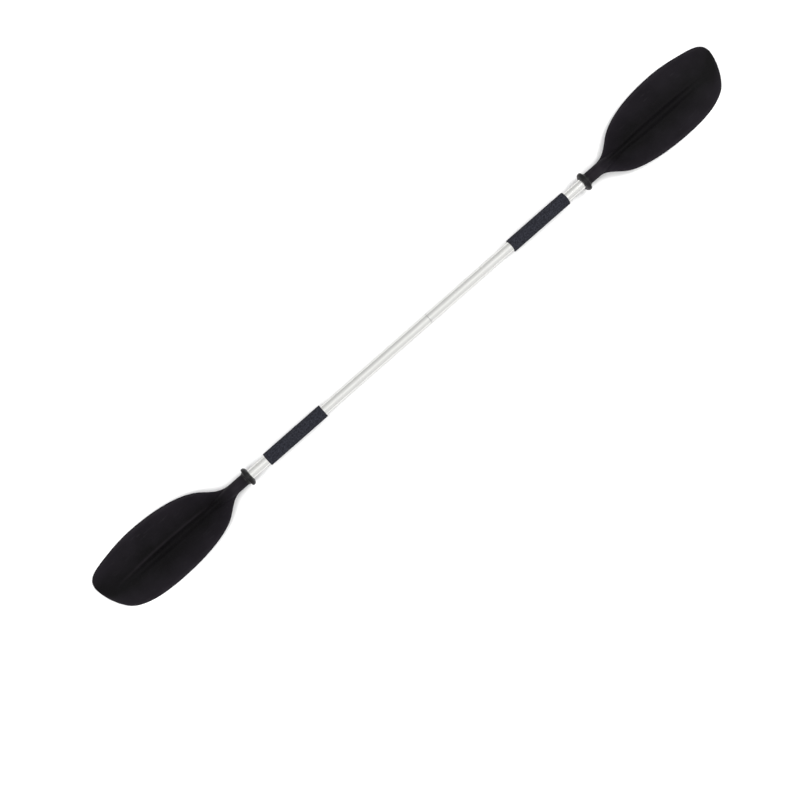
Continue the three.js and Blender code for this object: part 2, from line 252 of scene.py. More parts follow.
def loft(rings, closed=False):
    """Points and faces of a skin through rings. An open skin gets a fan at each end; a closed one
    joins its last ring to its first."""
    rings = [np.asarray(ring, float) for ring in rings]
    around = len(rings[0])
    points = np.concatenate(rings)
    faces = []
    spans = len(rings) if closed else len(rings) - 1
    for row in range(spans):
        low = row * around
        high = ((row + 1) % len(rings)) * around
        for i in range(around):
            j = (i + 1) % around
            faces.append((low + i, low + j, high + j, high + i))
    if not closed:
        middles = [rings[0].mean(axis=0), rings[-1].mean(axis=0)]
        points = np.concatenate([points, middles])
        start = len(points) - 2
        last = (len(rings) - 1) * around
        for i in range(around):
            j = (i + 1) % around
            faces.append((start, j, i))
            faces.append((start + 1, last + i, last + j))
    return points, faces


def rounded(profile, radius, closed=True, steps=5):
    """The profile with each of its corners replaced by an arc, no larger than its sides allow."""
    corners = [np.array(point, float) for point in profile]
    count = len(corners)
    result = []
    for i, corner in enumerate(corners):
        if not closed and i in (0, count - 1):
            result.append(corner)
            continue
        before = corners[i - 1] - corner
        after = corners[(i + 1) % count] - corner
        lengths = np.linalg.norm(before), np.linalg.norm(after)
        turn = math.acos(np.clip(before @ after / (lengths[0] * lengths[1]), -1, 1))
        reach = min(radius / math.tan(turn / 2), SIDE_SHARE * min(lengths))
        if turn > NEARLY_STRAIGHT or reach < 1e-4:
            result.append(corner)
            continue
        first = corner + before / lengths[0] * reach
        last = corner + after / lengths[1] * reach
        for step in range(steps + 1):
            share = step / steps
            a = first + (corner - first) * share
            b = corner + (last - corner) * share
            result.append(a + (b - a) * share)
    return result


def turned_rings(profile, sides):
    """Rings about +X through [distance along, radius] points."""
    angles = 2 * np.pi * np.arange(sides) / sides
    y = np.cos(angles)
    z = np.sin(angles)
    return [np.stack([np.full(sides, along), r * y, r * z], axis=1) for along, r in profile]


def turned(name, profile, mirrored=False, sides=AROUND):
    """A piece turned about the shaft's axis. A profile that starts on the axis ends on it too."""
    solid = profile[0][1] == 0
    used = profile[1:-1] if solid else profile
    points, faces = loft(turned_rings(used, sides), closed=not solid)
    return to_object(name, points, outward(points, faces), mirrored)


def outward(points, faces):
    """The faces, reversed if they face inward."""
    a, b, c = (points[[face[corner] for face in faces]] for corner in range(3))
    d = points[[face[-1] for face in faces]]
    volume = np.einsum("ij,ij->i", a, np.cross(b, c)).sum()
    volume += np.einsum("ij,ij->i", a, np.cross(c, d)).sum()
    return faces if volume > 0 else [tuple(reversed(face)) for face in faces]


def stood_out(points, along, turn):
    """Points that stand along +X moved so that they stand out of the shaft, at a distance along
    it and turned about +X from straight up by so many degrees."""
    x, y, z = np.asarray(points, float).T
    angle = math.radians(turn)
    out_y, out_z = -math.sin(angle), math.cos(angle)
    side_y, side_z = math.cos(angle), math.sin(angle)
    return np.stack([along + y, x * out_y + z * side_y, x * out_z + z * side_z], axis=1)


def stud(name, profile, along, turn, mirrored=False, sides=48):
    """A small piece turned about a line that stands out of the shaft."""
    solid = profile[0][1] == 0
    used = profile[1:-1] if solid else profile
    points, faces = loft(turned_rings(used, sides), closed=not solid)
    placed = stood_out(points, along, turn)
    return to_object(name, placed, outward(placed, faces), mirrored)


def drilled(piece, holes):
    """Cuts round holes of (radius, distance along, turn) through one wall of the piece."""
    for radius, along, turn in holes:
        depth = 2 * NECK_RADIUS
        cutter = stud("cutter", [(0, 0), (0, radius), (depth, radius), (depth, 0)], along, turn)
        cut = piece.modifiers.new("hole", "BOOLEAN")
        cut.operation = "DIFFERENCE"
        cut.solver = "EXACT"
        cut.object = cutter
        bpy.context.view_layer.update()
        evaluated = piece.evaluated_get(bpy.context.evaluated_depsgraph_get())
        mesh = bpy.data.meshes.new_from_object(evaluated)
        piece.modifiers.clear()
        piece.data = mesh
        bpy.data.objects.remove(cutter)
    piece.data.shade_smooth()
    piece.data.set_sharp_from_angle(angle=SMOOTH_ANGLE)
    return piece


# ---------- blade ----------


def mix(a, b, share):
    return a + (b - a) * share


def ease(x, low, high):
    share = np.clip((x - low) / (high - low), 0, 1)
    return share * share * (3 - 2 * share)


class OutlineSide:
    """One side of the blade's outline: Bezier pieces from a start point, as (distance, y)."""

    def __init__(self, start, pieces, steps=400):
        points = [np.array([start], float)]
        corner = np.array(start, float)
        share = np.linspace(0, 1, steps + 1)[1:, None]
        for piece in pieces:
            first, second, end = (np.array(point, float) for point in piece)
            points.append(
                corner * (1 - share) ** 3
                + 3 * first * share * (1 - share) ** 2
                + 3 * second * share**2 * (1 - share)
                + end * share**3
            )
            corner = end
        self.points = np.concatenate(points)
        lengths = np.linalg.norm(np.diff(self.points, axis=0), axis=1)
        self.lengths = np.concatenate([[0], np.cumsum(lengths)])

    def at(self, share):
        """The point at this share of the side's length."""
        length = share * self.lengths[-1]
        return np.array([np.interp(length, self.lengths, self.points[:, k]) for k in (0, 1)])


TIP = (BLADE_TO, 44)
SHORT_SIDE = OutlineSide(
    (NECK_FROM, -NECK_RADIUS),
    [
        [(612, -NECK_RADIUS), (628, -NECK_RADIUS), (BLADE_FROM, -NECK_RADIUS)],
        [(668, -NECK_RADIUS), (692, -47.2), (720, -60)],
        [(755, -76), (815, -88.3), (905, -88.3)],
        [(975, -88.3), (1028, -80), (1057, -55)],
        [(1076, -38), (BLADE_TO, 8), TIP],
    ],
)
LONG_SIDE = OutlineSide(
    (NECK_FROM, NECK_RADIUS),
    [
        [(615, NECK_RADIUS), (635, NECK_RADIUS), (650, NECK_RADIUS)],
        [(690, NECK_RADIUS), (710, 47), (735, 62)],
        [(785, 92), (860, 100.5), (930, 100.5)],
        [(985, 100.5), (1040, 89.2), (1064, 82)],
        [(1084, 76), (BLADE_TO, 66), TIP],
    ],
)


def spine_half(along):
    run = np.clip((along - SPINE_FROM) / (SPINE_TO - SPINE_FROM), 0, 1)
    return SPINE_HALF_MIN + (SPINE_HALF_MAX - SPINE_HALF_MIN) * np.sin(np.pi * run)


def ridge_height(along, y, on_top):
    """Height of the round neck, and of the spine it turns into, over the blade's middle plane."""
    sunk = ease(along, SOCKET_TO, TUBE_TO + NECK_BLEND)
    spine = (CORE_HALF + SPINE_RISE) * (1 - ease(along, SPINE_LEVEL_TO, SPINE_TO))
    spine = np.where(on_top, spine, 0)
    narrowed = ease(along, SOCKET_TO, SPINE_NARROW_BY)
    across = np.minimum(np.abs(y) / mix(NECK_RADIUS, spine_half(along), narrowed), 1)
    power = mix(0.5, SPINE_ROUNDNESS, narrowed)
    return mix(NECK_RADIUS, spine, sunk) * (1 - across**2) ** power


def filleted(first, second, size):
    """The larger of two heights, with a fillet of about the given size where they cross."""
    near = np.maximum(size - np.abs(first - second), 0)
    return np.maximum(first, second) + near**2 / (4 * np.maximum(size, 1e-6))


def blade_section(share, highlight_strength):
    """Points round the section that spans both sides at this share of their lengths, how far out each
    one is (0 on the spine, 1 at the edge; on the neck it is the neck's painted lightness), and how
    strong the painted highlight at the spine's foot is."""
    short = SHORT_SIDE.at(share)
    long = LONG_SIDE.at(share)
    middle = (short[1] + long[1]) / 2 * ease(share, MIDDLE_SHARE, 1)
    flare = ease((short[0] + long[0]) / 2, BLADE_FROM, FLARE_TO)
    number = np.arange(BLADE_AROUND)
    cosine = np.cos(2 * np.pi * number / BLADE_AROUND)
    cosine[np.abs(cosine) < 1e-9] = 0
    out = np.abs(cosine) ** (1 + EDGE_CROWDING * flare)
    y = mix(middle, np.where(cosine < 0, short[1], long[1]), out)
    along = mix(short[0], long[0], (y - short[1]) / (long[1] - short[1]))
    plate = mix(CORE_HALF, EDGE_HALF, out**2) * np.sqrt(np.maximum(1 - out**EDGE_SQUARENESS, 0))
    on_top = number < BLADE_AROUND / 2
    fillet = mix(ROOT_FILLET, SPINE_FILLET, ease(along, FLARE_TO, SPINE_LEVEL_TO))
    ridge = ridge_height(along, y, on_top)
    half = filleted(plate, ridge, fillet * flare * (1 - out**2))
    run = np.maximum(along - BLADE_FROM, 0) / (BLADE_TO - BLADE_FROM)
    bend = TIP_DROP * run**CURVE_POWER
    faded = ease(along, BLADE_TO - CAMBER_FADE, BLADE_TO)
    cup = CAMBER * flare * (1 - faded) * out**2
    z = np.where(on_top, half, -half) - bend - cup
    # painted highlight: a pale line just past the spine's foot, on the top side only
    foot = HIGHLIGHT_PAST_SPINE * spine_half(along)
    painted_highlight = highlight_strength * np.exp(-(((y - foot) / HIGHLIGHT_WIDTH) ** 2)) * on_top
    painted_highlight = painted_highlight * ease(along, FLARE_TO, FLARE_TO + HIGHLIGHT_FADE_IN)
    painted_highlight = painted_highlight * (1 - ease(along, SPINE_TO - HIGHLIGHT_FADE_OUT, SPINE_TO))
    return np.stack([along, y, z], axis=1), mix(NECK_PAINTED_LIGHT, out, flare), painted_highlight


def ring_of(along, radius):
    angles = 2 * np.pi * np.arange(BLADE_AROUND) / BLADE_AROUND
    flat = np.full(BLADE_AROUND, float(along))
    return np.stack([flat, radius * np.cos(angles), radius * np.sin(angles)], axis=1)


def blade(name, mirrored, highlight_strength):
    """A blade with its neck. Its point attributes say how near the edge a point is ("out"), which the
    material also uses to paint the blade paler towards its edges and the neck pale, and how strong the
    painted highlight beside the spine is (the other attribute)."""
    corners = [(SOCKET_TO, SOCKET_RADIUS), (NECK_FROM, SOCKET_RADIUS),
               (NECK_FROM, NECK_RADIUS), (NECK_FROM + 4, NECK_RADIUS)]
    mouth = rounded(corners, MOUTH_ROUNDING, closed=False)
    rings = [ring_of(along, radius) for along, radius in mouth[:-1]]
    outs = [np.full(BLADE_AROUND, NECK_PAINTED_LIGHT) for _ in rings]
    painted_highlight_rows = [np.zeros(BLADE_AROUND) for _ in rings]
    for i in range(1, STATIONS):
        share = i / STATIONS
        section, out, painted_highlight = blade_section(share**STATION_CROWDING, highlight_strength)
        rings.append(section)
        outs.append(out)
        painted_highlight_rows.append(painted_highlight)
    points, faces = loft(rings)
    points[-1] = (*TIP, -TIP_DROP)
    points[-2] = (SOCKET_TO, 0, 0)
    made = to_object(name, points, outward(points, faces), mirrored)
    for key, values in (("out", [*outs, [NECK_PAINTED_LIGHT, 1]]), ("painted_highlight", [*painted_highlight_rows, [0, 0]])):
        attribute = made.data.attributes.new(key, "FLOAT", "POINT")
        attribute.data.foreach_set("value", np.concatenate(values).astype(np.float32))
    return made


# ---------- materials ----------


class Nodes:
    """A material's nodes, with short calls for the ones that are used most."""

    def __init__(self, name):
        self.material = bpy.data.materials.new(name)
        self.material.use_nodes = True
        self.tree = self.material.node_tree
        self.tree.nodes.clear()
        self.output = self.add("ShaderNodeOutputMaterial")
        self.shader = self.add("ShaderNodeBsdfPrincipled")
        self.join(self.shader.outputs["BSDF"], self.output.inputs["Surface"])
        self.place = self.add("ShaderNodeTexCoord").outputs["Object"]

    def add(self, kind, **settings):
        node = self.tree.nodes.new(kind)
        for key, value in settings.items():
            setattr(node, key, value)
        return node

    def join(self, source, target):
        self.tree.links.new(source, target)

    def put(self, value, target):
        if isinstance(value, bpy.types.NodeSocket):
            self.join(value, target)
        else:
            target.default_value = value

    def stretched(self, scale):
        node = self.add("ShaderNodeMapping")
        self.join(self.place, node.inputs["Vector"])
        node.inputs["Scale"].default_value = scale
        return node.outputs["Vector"]

    def noise(self, scale, detail=3, roughness=0.5, vector=None):
        node = self.add("ShaderNodeTexNoise")
        self.join(vector or self.place, node.inputs["Vector"])
        node.inputs["Scale"].default_value = scale
        node.inputs["Detail"].default_value = detail
        node.inputs["Roughness"].default_value = roughness
        return node.outputs["Fac"]

    def cells(self, scale, feature="F1", vector=None):
        node = self.add("ShaderNodeTexVoronoi", feature=feature)
        self.join(vector or self.place, node.inputs["Vector"])
        node.inputs["Scale"].default_value = scale
        return node.outputs["Distance"]

    def ramp(self, value, low, high, to_low=0.0, to_high=1.0):
        node = self.add("ShaderNodeMapRange")
        self.join(value, node.inputs["Value"])
        for key, number in (("From Min", low), ("From Max", high),
                            ("To Min", to_low), ("To Max", to_high)):
            node.inputs[key].default_value = number
        return node.outputs["Result"]

    def math(self, kind, a, b=0.0):
        node = self.add("ShaderNodeMath", operation=kind)
        self.put(a, node.inputs[0])
        self.put(b, node.inputs[1])
        return node.outputs[0]

    def blend(self, share, a, b):
        node = self.add("ShaderNodeMix", data_type="RGBA")
        self.put(share, node.inputs["Factor"])
        self.put(a, node.inputs[6])
        self.put(b, node.inputs[7])
        return node.outputs[2]

    def bump(self, height, distance, strength=1.0, under=None):
        node = self.add("ShaderNodeBump")
        node.inputs["Distance"].default_value = distance
        node.inputs["Strength"].default_value = strength
        self.join(height, node.inputs["Height"])
        if under is not None:
            self.join(under, node.inputs["Normal"])
        return node.outputs["Normal"]

    def attribute(self, name):
        return self.add("ShaderNodeAttribute", attribute_name=name).outputs["Fac"]

    def finish(self, colour, roughness, normal, **constants):
        self.put(colour, self.shader.inputs["Base Color"])
        self.put(roughness, self.shader.inputs["Roughness"])
        self.join(normal, self.shader.inputs["Normal"])
        for key, value in constants.items():
            self.shader.inputs[key.replace("_", " ")].default_value = value
        return self.material


def rgb(red, green, blue):
    return (red, green, blue, 1.0)


def blade_plastic():
    """Black moulded plastic with a fine grain. Painted shade and light: deep black at the spine, paler
    towards its edges, and a painted highlight beside the spine. Its very edge is scuffed."""
    n = Nodes("blade_plastic")
    clouds = n.noise(14, detail=4)
    speckle = n.noise(520, detail=3, roughness=0.7)
    out = n.attribute("out")
    # painted shade and light: black at the spine, paler towards the edges and on the neck, with random
    # tone on top
    painted_edge_light_and_tone = n.math("ADD", out, n.ramp(n.noise(18, detail=4), 0.3, 0.7, -0.14, 0.14))
    black = rgb(0.0003, 0.0002, 0.0003)
    base = n.blend(n.ramp(painted_edge_light_and_tone, 0.2, 1.0), black, rgb(0.0106, 0.0089, 0.0120))
    base = n.blend(n.ramp(clouds, 0.35, 0.65, 0, 0.3), base, rgb(0.0030, 0.0024, 0.0034))
    base = n.blend(n.ramp(speckle, 0.45, 0.65, 0, 0.25), base, rgb(0.0140, 0.0122, 0.0150))
    scuffs = n.ramp(n.noise(45, detail=5, roughness=0.65), 0.35, 0.7, 0.3, 1)
    rim = n.math("MULTIPLY", n.ramp(out, 0.86, 1.0), scuffs)
    base = n.blend(n.math("MULTIPLY", rim, 0.5), base, rgb(0.030, 0.027, 0.031))
    # painted highlight: a pale, patchy line beside the spine's foot
    patchy = n.ramp(n.noise(40, detail=3), 0.3, 0.7, 0.55, 1)
    painted_highlight = n.math("MULTIPLY", n.attribute("painted_highlight"), patchy)
    base = n.blend(n.math("MULTIPLY", painted_highlight, 0.55), base, rgb(0.0150, 0.0125, 0.0155))
    scratches = n.noise(60, detail=2, roughness=0.4, vector=n.stretched((0.35, 6, 6)))
    scratch_line = n.math("MULTIPLY", n.ramp(scratches, 0.67, 0.71), n.ramp(out, 0.15, 0.9))
    base = n.blend(n.math("MULTIPLY", scratch_line, 0.35), base, rgb(0.026, 0.024, 0.027))
    rough = n.math("ADD", n.ramp(clouds, 0.3, 0.7, 0.46, 0.56), n.ramp(speckle, 0.3, 0.7, -0.04, 0.05))
    grain = n.bump(n.noise(1400, detail=2, roughness=0.6), 0.00010, 0.55)
    waves = n.bump(n.noise(22, detail=2), 0.0009, 0.35, grain)
    return n.finish(base, rough, waves, Specular_IOR_Level=0.045, IOR=1.49)


EDGE_TINT = (0.4, 0.4, 0.4, 1.0)  # the metal's sides mirror less of the white floor


def aluminium(name, colour, roughness, lines=1.0):
    """Drawn aluminium: fine lines along the tube, faint smudges and a few scratches."""
    n = Nodes(name)
    drawn = n.noise(30, detail=6, roughness=0.7, vector=n.stretched((0.6, 34, 34)))
    fine = n.noise(60, detail=4, roughness=0.7, vector=n.stretched((0.5, 90, 90)))
    smudge = n.noise(26, detail=5, roughness=0.6)
    dull = n.noise(7, detail=3)
    darker = rgb(*(value * 0.90 for value in colour))
    base = n.blend(n.ramp(drawn, 0.3, 0.7), rgb(*colour), darker)
    base = n.blend(n.ramp(smudge, 0.55, 0.75, 0, 0.3), base, rgb(*(value * 0.8 for value in colour)))
    rough = n.math("ADD", n.ramp(smudge, 0.3, 0.75, roughness - 0.03, roughness + 0.08),
                   n.ramp(dull, 0.35, 0.65, -0.02, 0.03))
    across = n.noise(55, detail=2, roughness=0.5, vector=n.stretched((5, 1.1, 1.1)))
    cuts = n.ramp(across, 0.70, 0.74)
    base = n.blend(n.math("MULTIPLY", cuts, 0.16), base, rgb(*(value * 0.62 for value in colour)))
    normal = n.bump(fine, 0.00003, 0.5 * lines)
    normal = n.bump(drawn, 0.00006, 0.35 * lines, normal)
    return n.finish(base, rough, normal, Metallic=1.0, Specular_Tint=EDGE_TINT)


def grip_foam():
    """Dark closed-cell foam: pits and crumbs a few millimetres across over fine cells, with painted
    shade in the pits.
    """
    n = Nodes("grip_foam")
    cells = n.cells(620, "DISTANCE_TO_EDGE")
    pits = n.cells(340)
    crumbs = n.noise(250, detail=4, roughness=0.75)
    patches = n.noise(16, detail=3)
    base = n.blend(n.ramp(crumbs, 0.38, 0.62), rgb(0.0053, 0.0054, 0.0075), rgb(0.0325, 0.0335, 0.0435))
    base = n.blend(n.ramp(cells, 0.0, 0.12, 0.3, 0.0), base, rgb(0.039, 0.0415, 0.053))
    # painted shade: the pits are coloured darker
    base = n.blend(n.ramp(pits, 0.10, 0.32, 0.85, 0.0), base, rgb(0.0019, 0.0020, 0.0032))
    base = n.blend(n.ramp(patches, 0.4, 0.7, 0, 0.25), base, rgb(0.0145, 0.0160, 0.0225))
    rough = n.ramp(crumbs, 0.3, 0.7, 0.82, 0.95)
    normal = n.bump(n.ramp(pits, 0.0, 0.35), 0.0007, 0.8)
    normal = n.bump(crumbs, 0.0012, 0.6, normal)
    return n.finish(base, rough, normal, Specular_IOR_Level=0.08)


def plug_foam():
    """Pale closed-cell foam of the plugs inside the tubes."""
    n = Nodes("plug_foam")
    cells = n.cells(700, "DISTANCE_TO_EDGE")
    mottle = n.noise(120, detail=4)
    base = n.blend(n.ramp(mottle, 0.35, 0.65), rgb(0.50, 0.50, 0.47), rgb(0.62, 0.62, 0.59))
    base = n.blend(n.ramp(cells, 0.0, 0.1, 0.5, 0.0), base, rgb(0.38, 0.38, 0.36))
    rough = n.ramp(mottle, 0.3, 0.7, 0.8, 0.92)
    normal = n.bump(n.ramp(cells, 0.0, 0.3), 0.0003, 0.5)
    return n.finish(base, rough, normal, Specular_IOR_Level=0.3)


def black_rubber():
    """Soft black rubber with a fine grain and a little dust."""
    n = Nodes("black_rubber")
    dust = n.noise(130, detail=5, roughness=0.65)
    clouds = n.noise(35, detail=3)
    base = n.blend(n.ramp(clouds, 0.35, 0.65), rgb(0.0042, 0.0040, 0.0044), rgb(0.0078, 0.0074, 0.0080))
    base = n.blend(n.ramp(dust, 0.55, 0.75, 0, 0.3), base, rgb(0.024, 0.0232, 0.0242))
    rough = n.ramp(dust, 0.3, 0.75, 0.32, 0.5)
    normal = n.bump(n.noise(1500, detail=2), 0.00008, 0.4)
    normal = n.bump(clouds, 0.0006, 0.3, normal)
    return n.finish(base, rough, normal, Specular_IOR_Level=0.17)


def grey_rubber():
    """Pale grey rubber of the thin ring between the two halves of the shaft."""
    n = Nodes("grey_rubber")
    dust = n.noise(160, detail=5, roughness=0.65)
    base = n.blend(n.ramp(dust, 0.35, 0.65), rgb(0.36, 0.36, 0.365), rgb(0.30, 0.30, 0.305))
    rough = n.ramp(dust, 0.3, 0.75, 0.5, 0.65)
    normal = n.bump(n.noise(1200, detail=2), 0.00005, 0.4)
    return n.finish(base, rough, normal, Specular_IOR_Level=0.4)


def joint_plastic():
    """Plain black plastic of the sleeve's end plug."""
    n = Nodes("joint_plastic")
    clouds = n.noise(60, detail=4)
    base = n.blend(n.ramp(clouds, 0.35, 0.65), rgb(0.010, 0.010, 0.011), rgb(0.018, 0.018, 0.019))
    rough = n.ramp(clouds, 0.3, 0.7, 0.35, 0.5)
    normal = n.bump(n.noise(1100, detail=2), 0.00006, 0.4)
    return n.finish(base, rough, normal, Specular_IOR_Level=0.45)


def spring_steel():
    """Stainless steel, lightly brushed."""
    n = Nodes("spring_steel")
    brushed = n.noise(80, detail=5, roughness=0.7, vector=n.stretched((2, 30, 30)))
    smudge = n.noise(180, detail=4)
    base = n.blend(n.ramp(brushed, 0.3, 0.7), rgb(0.56, 0.56, 0.565), rgb(0.45, 0.45, 0.455))
    base = n.blend(n.ramp(smudge, 0.55, 0.75, 0, 0.4), base, rgb(0.33, 0.33, 0.33))
    rough = n.ramp(smudge, 0.3, 0.7, 0.22, 0.38)
    normal = n.bump(brushed, 0.00003, 0.5)
    return n.finish(base, rough, normal, Metallic=1.0)


# ---------- pieces ----------

SIDES = (("right", False, 0.15), ("left", True, 0.9))  # name, mirrored, how strong the painted highlight beside the blade's spine is
MATERIALS = {
    "blade_plastic": blade_plastic(),
    "shaft_aluminium": aluminium("shaft_aluminium", (0.785, 0.785, 0.765), 0.22),
    "ferrule_aluminium": aluminium("ferrule_aluminium", (0.80, 0.805, 0.81), 0.26),
    "grip_foam": grip_foam(),
    "plug_foam": plug_foam(),
    "black_rubber": black_rubber(),
    "grey_rubber": grey_rubber(),
    "joint_plastic": joint_plastic(),
    "spring_steel": spring_steel(),
    "rivet_aluminium": aluminium("rivet_aluminium", (0.72, 0.72, 0.73), 0.34, lines=0.4),
}


def clad(piece, node, slot):
    """Gives a piece its material and slot, and lets it stand for its CAD node."""
    piece.data.materials.clear()
    piece.data.materials.append(MATERIALS[slot])
    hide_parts(node)


def settle(piece, node, slot):
    """Lets a piece stand for its CAD node and ride with it."""
    clad(piece, node, slot)
    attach(piece, frame["nodes"][node]["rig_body"])
    return piece


def tube_profile(start, end, bore, radius, edge=TUBE_ROUNDING):
    return rounded([(start, bore), (start, radius), (end, radius), (end, bore)], edge)


def solid_profile(corners, edge):
    """A profile that starts and ends on the axis, with its other corners rounded."""
    return [tuple(point) for point in rounded(corners, edge, closed=False)]


def float_plug(name, start, mirrored=False):
    end = start + FLOAT_PLUG_LENGTH
    radius = TUBE_BORE - GAP
    corners = [(start, 0), (start, radius), (end, radius), (end, 0)]
    return turned(name, solid_profile(corners, FLOAT_PLUG_ROUNDING), mirrored)


def shaft_tubes():
    left_end = SEAM_AT - HALF_SEAM - GAP
    left = turned("left_tube", tube_profile(-TUBE_TO, left_end, TUBE_BORE, SHAFT_RADIUS))
    settle(left, "shaft_tube_left", "shaft_aluminium")
    right_end = SEAM_AT + HALF_SEAM + GAP
    right = turned("right_tube", tube_profile(right_end, TUBE_TO, TUBE_BORE, SHAFT_RADIUS))
    hole = BUTTON_RADIUS + GAP
    drilled(right, [(hole, BUTTON_AT, BUTTON_TURN + step * FEATHER_STEP) for step in (-1, 0, 1)])
    settle(right, "shaft_tube_right", "shaft_aluminium")


def seam_ring():
    ends = (SEAM_AT - HALF_SEAM, SEAM_AT + HALF_SEAM)
    profile = tube_profile(*ends, TUBE_BORE, SHAFT_RADIUS, SEAM_ROUNDING)
    settle(turned("seam_band", profile), "seam_ring", "grey_rubber")


def sleeve():
    """The sleeve that joins the halves, and the plug in its free end."""
    ends = (FERRULE_FROM, FERRULE_TO)
    profile = tube_profile(*ends, FERRULE_BORE, FERRULE_RADIUS, FERRULE_ROUNDING)
    made = turned("joint_sleeve", profile)
    drilled(made, [(BUTTON_RADIUS + GAP, BUTTON_AT, BUTTON_TURN)])
    settle(made, "ferrule_sleeve", "ferrule_aluminium")
    spigot = FERRULE_BORE - GAP
    cap_from = FERRULE_TO + GAP
    cap_to = cap_from + END_PLUG_CAP
    corners = [(FERRULE_TO - END_PLUG_SPIGOT, 0), (FERRULE_TO - END_PLUG_SPIGOT, spigot),
               (cap_from, spigot), (cap_from, FERRULE_RADIUS),
               (cap_to, FERRULE_RADIUS - END_PLUG_CHAMFER), (cap_to, 0)]
    plug = turned("sleeve_plug", solid_profile(corners, END_PLUG_ROUNDING))
    settle(plug, "ferrule_end_plug", "joint_plastic")


def rivet(name, wall_from, wall_to, along, turn, mirrored=False):
    """A blind rivet with a domed head, and its broken stem in a hollow at the head's middle."""
    bulb_top = wall_from - RIVET_BULB_INSIDE
    bulb_end = bulb_top - RIVET_BULB_LENGTH
    base = wall_to + GAP
    top = base + RIVET_HEAD_HEIGHT
    bulb = [(bulb_end, 0), (bulb_end, RIVET_BULB * RIVET_BULB_TIP),
            (mix(bulb_end, bulb_top, 0.5), RIVET_BULB), (bulb_top, RIVET_SHANK)]
    under = [(base, RIVET_SHANK), (base, RIVET_HEAD)]
    dome = []
    for step in range(1, 9):
        angle = math.radians(10 * step)
        height = RIVET_RIM + (RIVET_HEAD_HEIGHT - RIVET_RIM) * math.sin(angle)
        dome.append((base + height, RIVET_HEAD * (1 - RIVET_DOME * (1 - math.cos(angle)))))
    hollow_floor = top - STEM_HOLLOW_DEPTH
    stem_top = top - STEM_BELOW_HEAD
    edge_down, edge_out = STEM_HOLLOW_EDGE
    hollow = [(top, STEM_HOLLOW + edge_out), (top - edge_down, STEM_HOLLOW),
              (hollow_floor, STEM_HOLLOW - STEM_SLOPE), (hollow_floor, STEM + STEM_SLOPE),
              (stem_top - STEM_SLOPE, STEM), (stem_top, 0)]
    return stud(name, [*bulb, *under, *dome, *hollow], along, turn, mirrored, sides=40)


def ferrule_rivets():
    for i, along in enumerate(FERRULE_RIVETS):
        made = rivet(f"sleeve_rivet_{i + 1}", FERRULE_BORE, SHAFT_RADIUS, along, BUTTON_TURN)
        settle(made, f"ferrule_rivet_{i + 1}", "rivet_aluminium")


def button():
    top = SHAFT_RADIUS + BUTTON_PROUD
    corners = [(FLANGE_TOP - FLANGE_THICKNESS, 0), (FLANGE_TOP - FLANGE_THICKNESS, BUTTON_FLANGE),
               (FLANGE_TOP, BUTTON_FLANGE), (FLANGE_TOP, BUTTON_RADIUS),
               (top - BUTTON_ROUNDING, BUTTON_RADIUS)]
    dome = []
    for step in range(1, 10):
        angle = math.radians(10 * step)
        radius = BUTTON_RADIUS * mix(BUTTON_FLAT, 1, math.cos(angle))
        dome.append((top - BUTTON_ROUNDING * (1 - math.sin(angle)), radius))
    made = stud("lock_button", [*corners, *dome, (top, 0)], BUTTON_AT, BUTTON_TURN, sides=64)
    settle(made, "snap_button", "spring_steel")


def spring():
    """The spring's strip: behind the button, round a bend, and back along the far wall. On the real
    paddle it closes up as the button is pressed in, one leaf going with the button and the other
    staying; here it is built in one shape."""
    middle = FLANGE_TOP - FLANGE_THICKNESS - GAP - SPRING_THICKNESS / 2
    start = BUTTON_AT - SPRING_PAST_BUTTON
    bend = start + SPRING_LENGTH
    leaf_steps = 12
    bend_steps = 24
    line = [(mix(start, bend, i / leaf_steps), -middle) for i in range(leaf_steps)]
    for i in range(bend_steps + 1):
        angle = math.radians(-90 + 180 * i / bend_steps)
        line.append((bend + middle * math.cos(angle), middle * math.sin(angle)))
    for i in range(1, leaf_steps + 1):
        share = i / leaf_steps
        line.append((mix(bend, start, share), middle + SPRING_SPREAD * share))
    line = np.array(line)
    along = np.gradient(line, axis=0)
    along /= np.linalg.norm(along, axis=1)[:, None]
    across = np.stack([along[:, 1], -along[:, 0]], axis=1)
    half = SPRING_THICKNESS / 2
    side = SPRING_WIDTH / 2
    corners = [(-half, -side), (half, -side), (half, side), (-half, side)]
    section = rounded(corners, SPRING_ROUNDING, steps=3)
    rings = []
    for place, normal in zip(line, across):
        rings.append([(place[0] + normal[0] * t, y, place[1] + normal[1] * t) for t, y in section])
    points, faces = loft(rings)
    made = to_object("lock_spring", points, outward(points, faces))
    clad(made, "snap_spring", "spring_steel")
    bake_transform(made)


